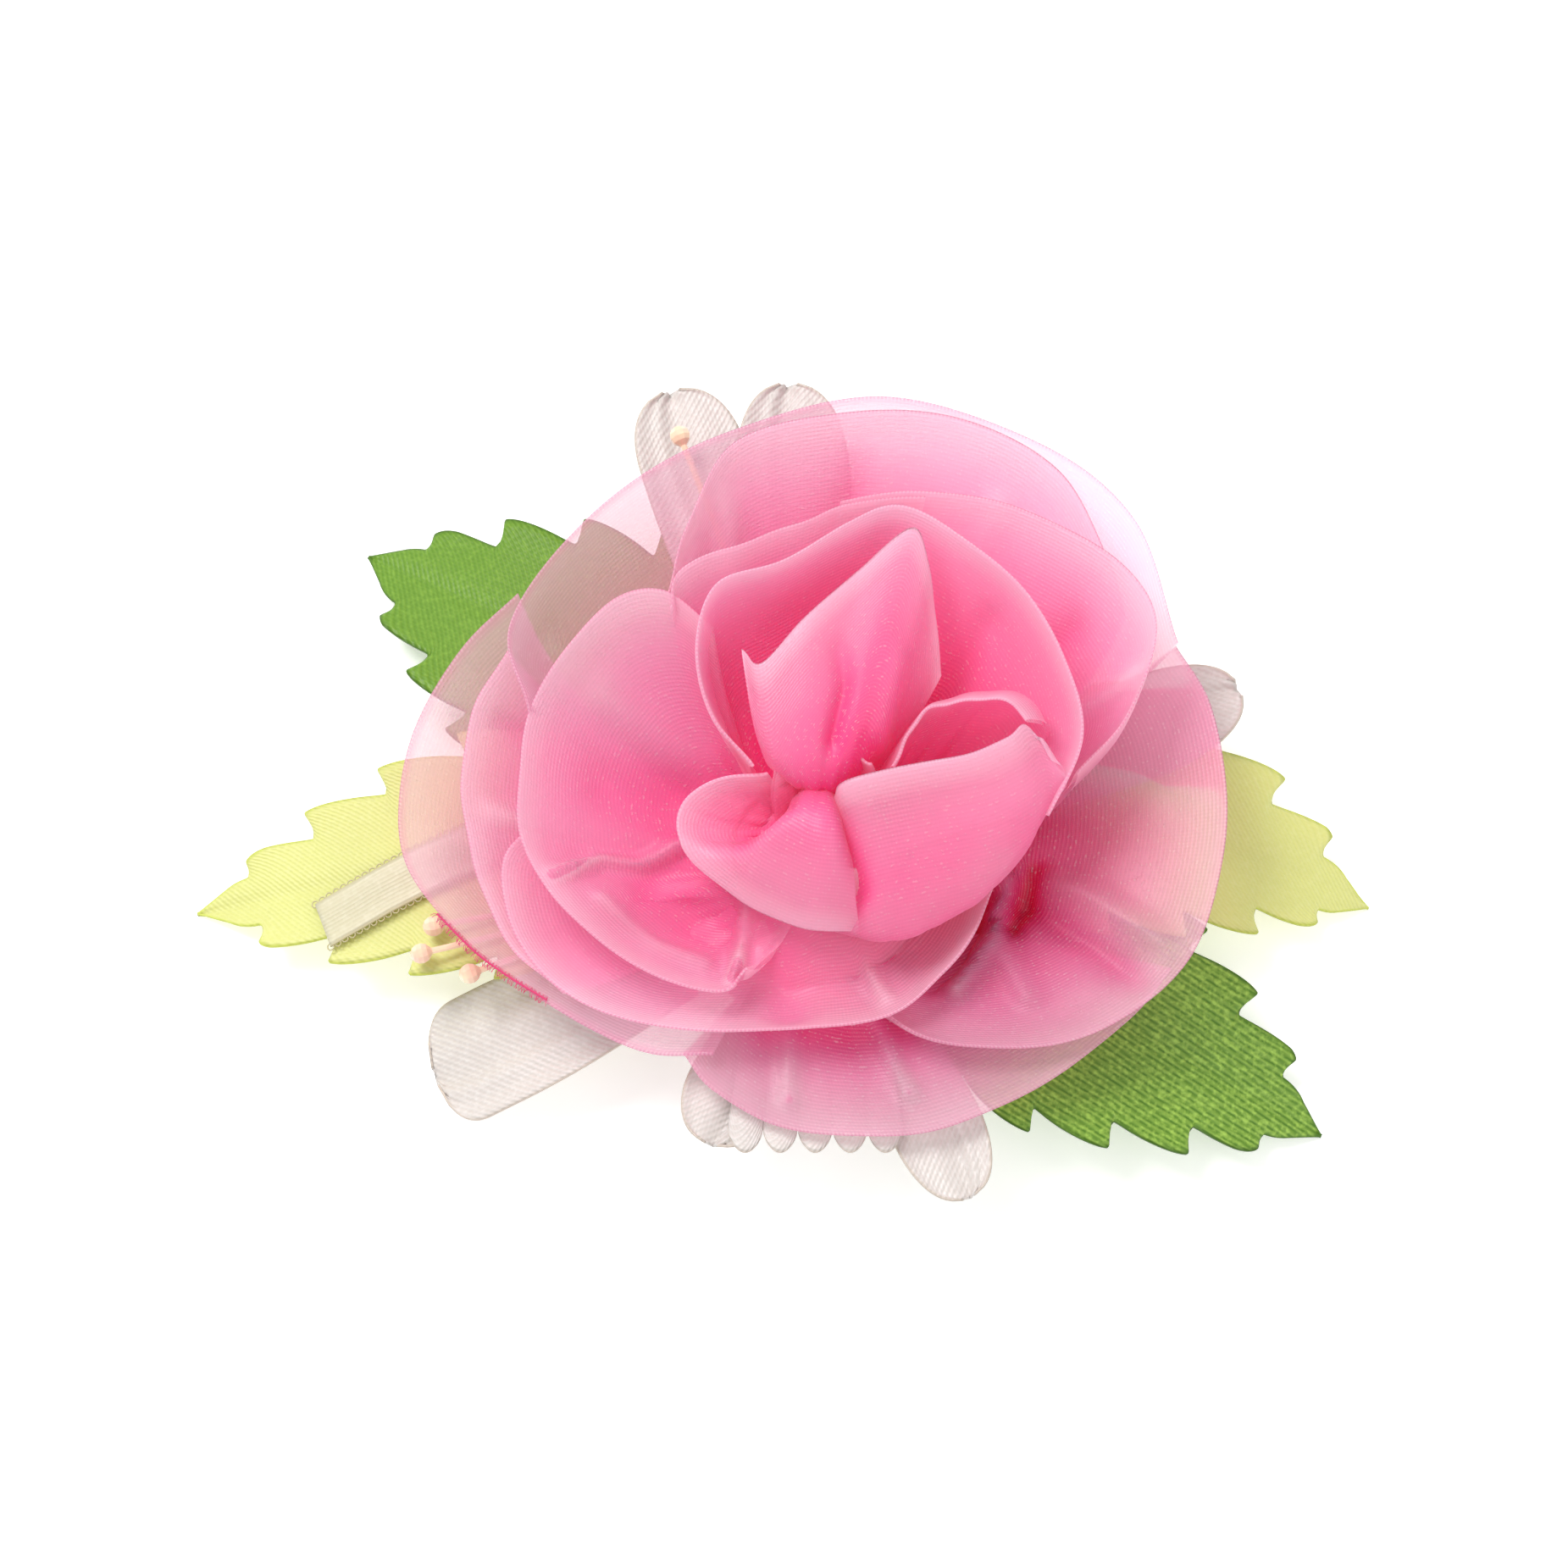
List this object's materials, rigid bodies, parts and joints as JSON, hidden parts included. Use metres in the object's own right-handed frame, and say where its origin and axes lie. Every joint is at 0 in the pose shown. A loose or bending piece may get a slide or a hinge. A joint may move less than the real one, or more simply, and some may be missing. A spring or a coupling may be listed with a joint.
{
  "type": "flower hair clip",
  "caption": "Large layered organza rose on satin leaves and cream petals, sewn to a felt base with a sprung alligator hair clip.",
  "frame": {"origin": "middle of the flat face of the clip's fixed arm that grips the hair", "axes": "+Z out of the hair towards the front of the rose, +X along the clip towards its handle, +Y towards the tall back petals"},
  "size_m": [0.1429, 0.1035, 0.0438],
  "materials": {
    "pink_organza": "sheer glossy woven organza",
    "lime_satin": "pale lime satin, die cut",
    "green_satin": "leaf green twill satin, die cut",
    "cream_satin": "cream satin",
    "stamen_pearl": "pearl-tipped stamens",
    "white_felt": "felt and buckram",
    "clip_steel": "nickel-plated sheet steel"
  },
  "bodies": {
    "root": {"clip_fixed_arm": "clip_steel", "clip_keeper": "white_felt", "clip_pin": "clip_steel", "clip_spring": "clip_steel", "cream_petal_back": "cream_satin", "cream_petal_back_left": "cream_satin", "cream_petal_front": "cream_satin", "cream_petal_front_left": "cream_satin", "cream_petal_front_right": "cream_satin", "cream_petal_right": "cream_satin", "felt_base": "white_felt", "leaf_green_back": "green_satin", "leaf_green_front": "green_satin", "leaf_lime_left": "lime_satin", "leaf_lime_right": "lime_satin", "petal_bowl_left": "pink_organza", "petal_bud_back": "pink_organza", "petal_bud_front": "pink_organza", "petal_cup_back": "pink_organza", "petal_heart_back": "pink_organza", "petal_heart_front": "pink_organza", "petal_heart_left": "pink_organza", "petal_heart_right": "pink_organza", "petal_outer_back": "pink_organza", "petal_outer_front": "pink_organza", "petal_outer_left": "pink_organza", "petal_outer_right": "pink_organza", "petal_second_back": "pink_organza", "petal_second_front": "pink_organza", "petal_second_left": "pink_organza", "petal_third_left": "pink_organza", "petal_third_right": "pink_organza", "pleated_frill": "cream_satin", "ribbon_tail": "cream_satin", "rose_bud_core": "pink_organza", "rose_seat": "white_felt", "stamen_back": "stamen_pearl", "stamen_lower": "stamen_pearl", "stamen_middle": "stamen_pearl", "stamen_upper": "stamen_pearl"},
    "moving_arm": {"clip_moving_arm": "clip_steel"}
  },
  "joints": [
    {"name": "clip_hinge", "type": "hinge", "parent": "root", "child": "moving_arm", "pos_m": [0.012, 0, -0.0032], "axis": [0, -1, 0], "range_deg": [0, 20], "stiffness_Nm_per_rad": 0.12, "springref_deg": -20.05, "deforming": ["clip_spring"]}
  ]
}
